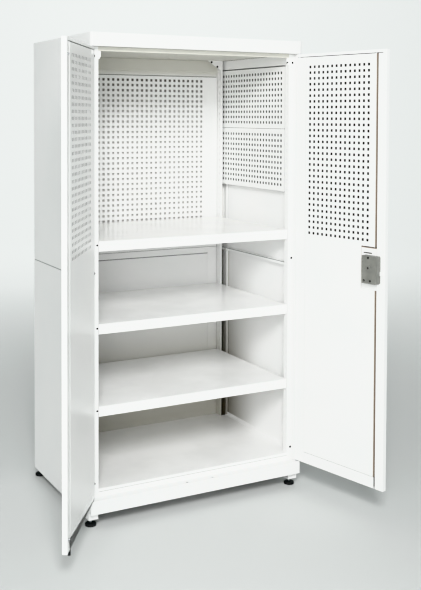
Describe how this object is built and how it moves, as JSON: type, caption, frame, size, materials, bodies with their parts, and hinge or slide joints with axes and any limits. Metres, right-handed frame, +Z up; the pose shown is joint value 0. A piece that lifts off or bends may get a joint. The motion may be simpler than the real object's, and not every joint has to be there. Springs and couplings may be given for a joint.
{
  "type": "tool cabinet",
  "caption": "Free-standing sheet-steel tool cabinet with two hinged doors, perforated panels, shelves, a locking handle and levelling feet.",
  "frame": {"origin": "middle of the underside of the box round the whole object with its doors as shown", "axes": "+X to the object's right seen from the front, +Y from the front to the back, +Z up"},
  "size_m": [1.3972, 1.1704, 1.99],
  "materials": {
    "white_paint": "satin powder coat",
    "grey_paint": "semi-gloss",
    "zinc": "zinc plated",
    "chrome": "polished",
    "black_nylon": "moulded"
  },
  "bodies": {
    "cabinet": {"top_cap": "white_paint", "ceiling_panel": "white_paint", "upper_left_side": "white_paint", "upper_right_side": "white_paint", "lower_left_side": "white_paint", "lower_right_side": "white_paint", "side_joint_strips": "grey_paint", "upper_back": "white_paint", "lower_back": "white_paint", "front_left_post": "white_paint", "front_right_post": "white_paint", "rear_left_post": "white_paint", "rear_right_post": "white_paint", "side_top_rails": "white_paint", "rear_top_rail": "white_paint", "back_pegboard": "white_paint", "lower_back_liner": "white_paint", "upper_left_pegboard": "white_paint", "middle_left_pegboard": "white_paint", "upper_right_pegboard": "white_paint", "middle_right_pegboard": "white_paint", "plinth": "white_paint", "floor_panel": "white_paint", "top_shelf": "white_paint", "middle_shelf": "white_paint", "bottom_shelf": "white_paint", "shelf_clips": "zinc", "corner_gussets": "white_paint", "rear_gussets": "white_paint", "floor_strips": "white_paint", "hinge_pins": "zinc", "foot_brackets": "white_paint", "foot_locknuts": "zinc", "frame_screws": "zinc"},
    "left_door": {"left_door_skin": "white_paint", "left_door_panel": "white_paint", "left_hinge_bushes": "zinc", "left_hinge_plates": "white_paint", "left_bolt_guides": "zinc"},
    "right_door": {"right_door_skin": "white_paint", "right_door_panel": "white_paint", "right_hinge_bushes": "zinc", "right_hinge_plates": "white_paint", "rod_guides": "zinc", "lock_bracket": "white_paint", "lock_case": "grey_paint", "handle_plate": "chrome"},
    "handle": {"turn_handle": "chrome", "lock_cam": "zinc"},
    "key": {"key_cylinder": "zinc"},
    "upper_bolt": {"upper_rod": "zinc"},
    "lower_bolt": {"lower_rod": "zinc"},
    "latch": {"latch_bolt": "zinc"},
    "top_bolt": {"top_flush_bolt": "zinc"},
    "bottom_bolt": {"bottom_flush_bolt": "zinc", "bottom_bolt_tip": "black_nylon"},
    "foot_front_left": {"front_left_foot": "black_nylon"},
    "foot_front_right": {"front_right_foot": "black_nylon"},
    "foot_rear_left": {"rear_left_foot": "black_nylon"},
    "foot_rear_right": {"rear_right_foot": "black_nylon"}
  },
  "joints": [
    {"name": "left_door_hinge", "type": "hinge", "parent": "cabinet", "child": "left_door", "pos_m": [-0.42336, -0.10483, 1.0285], "axis": [0, 0, 1], "range_deg": [-7, 123]},
    {"name": "right_door_hinge", "type": "hinge", "parent": "cabinet", "child": "right_door", "pos_m": [0.56064, -0.10483, 1.0285], "axis": [0, 0, 1], "range_deg": [-102.5, 27.5]},
    {"name": "handle_turn", "type": "hinge", "parent": "right_door", "child": "handle", "pos_m": [0.66239, -0.5176, 1.04], "axis": [-0.9763, -0.2164, 0], "range_deg": [0, 90]},
    {"name": "key_turn", "type": "hinge", "parent": "handle", "child": "key", "pos_m": [0.68778, -0.51197, 1.04], "axis": [-0.9763, -0.2164, 0], "range_deg": [0, 90]},
    {"name": "upper_bolt_slide", "type": "slide", "parent": "right_door", "child": "upper_bolt", "axis": [0, 0, 1], "range_m": [0, 0.018]},
    {"name": "lower_bolt_slide", "type": "slide", "parent": "right_door", "child": "lower_bolt", "axis": [0, 0, -1], "range_m": [0, 0.018]},
    {"name": "latch_slide", "type": "slide", "parent": "right_door", "child": "latch", "axis": [0.2164, -0.9763, 0], "range_m": [0, 0.018]},
    {"name": "top_bolt_slide", "type": "slide", "parent": "left_door", "child": "top_bolt", "axis": [0, 0, 1], "range_m": [0, 0.018]},
    {"name": "bottom_bolt_slide", "type": "slide", "parent": "left_door", "child": "bottom_bolt", "axis": [0, 0, 1], "range_m": [0, 0.022]},
    {"name": "foot_front_left_turn", "type": "hinge", "parent": "cabinet", "child": "foot_front_left", "pos_m": [-0.41136, -0.05883, 0.03], "axis": [0, 0, 1], "continuous": true},
    {"name": "foot_front_right_turn", "type": "hinge", "parent": "cabinet", "child": "foot_front_right", "pos_m": [0.54864, -0.05883, 0.03], "axis": [0, 0, 1], "continuous": true},
    {"name": "foot_rear_left_turn", "type": "hinge", "parent": "cabinet", "child": "foot_rear_left", "pos_m": [-0.41136, 0.56117, 0.03], "axis": [0, 0, 1], "continuous": true},
    {"name": "foot_rear_right_turn", "type": "hinge", "parent": "cabinet", "child": "foot_rear_right", "pos_m": [0.54864, 0.56117, 0.03], "axis": [0, 0, 1], "continuous": true}
  ],
  "couplings": [
    {"joint": "upper_bolt_slide", "follows": "handle_turn", "m_per_rad": 0.011459},
    {"joint": "lower_bolt_slide", "follows": "handle_turn", "m_per_rad": 0.011459},
    {"joint": "latch_slide", "follows": "handle_turn", "m_per_rad": 0.011459}
  ]
}
